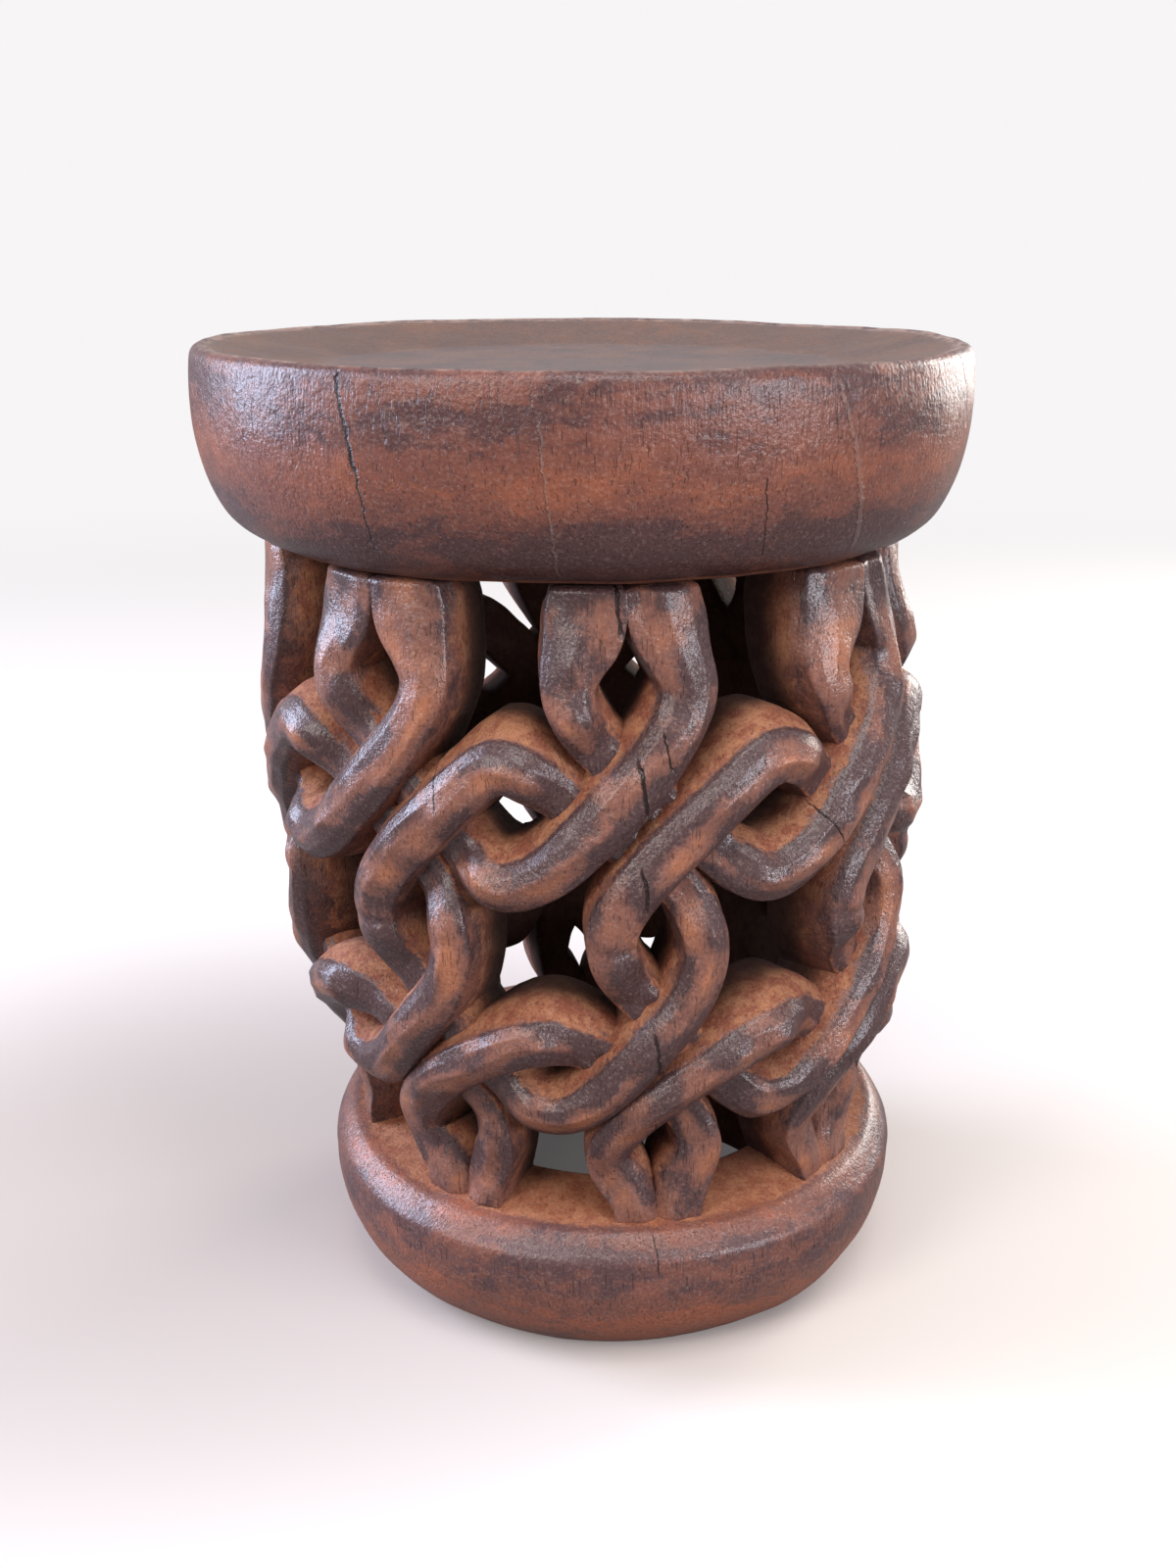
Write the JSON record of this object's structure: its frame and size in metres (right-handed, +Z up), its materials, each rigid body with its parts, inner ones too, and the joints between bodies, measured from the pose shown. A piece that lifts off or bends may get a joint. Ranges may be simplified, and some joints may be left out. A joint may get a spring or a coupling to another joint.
{
  "type": "african drum table",
  "caption": "Round carved hardwood table or stool with a shallow dish seat on an open barrel of interlaced strands and a heavy base ring.",
  "frame": {"origin": "on the floor, under the middle of the seat", "axes": "+Z up, -Y to the front, where the middle of lattice column 1 faces, +X to the right seen from the front"},
  "size_m": [0.4, 0.4, 0.5105],
  "materials": {
    "seat_wood": "oiled and worn, dark reddish brown",
    "lattice_wood": "knife cut, oiled on the backs of the strands and raw in the recesses",
    "base_wood": "oiled and worn, dark reddish brown"
  },
  "bodies": {
    "root": {"seat_dish": "seat_wood", "base_ring": "base_wood", "upper_strand_1": "lattice_wood", "upper_strand_2": "lattice_wood", "upper_strand_3": "lattice_wood", "upper_strand_4": "lattice_wood", "upper_strand_5": "lattice_wood", "upper_strand_6": "lattice_wood", "upper_strand_7": "lattice_wood", "upper_strand_8": "lattice_wood", "middle_ring_1": "lattice_wood", "middle_ring_2": "lattice_wood", "middle_ring_3": "lattice_wood", "middle_ring_4": "lattice_wood", "middle_ring_5": "lattice_wood", "middle_ring_6": "lattice_wood", "middle_ring_7": "lattice_wood", "middle_ring_8": "lattice_wood", "lower_arch_1": "lattice_wood", "lower_arch_2": "lattice_wood", "lower_arch_3": "lattice_wood", "lower_arch_4": "lattice_wood", "lower_arch_5": "lattice_wood", "lower_arch_6": "lattice_wood", "lower_arch_7": "lattice_wood", "lower_arch_8": "lattice_wood"}
  },
  "joints": []
}
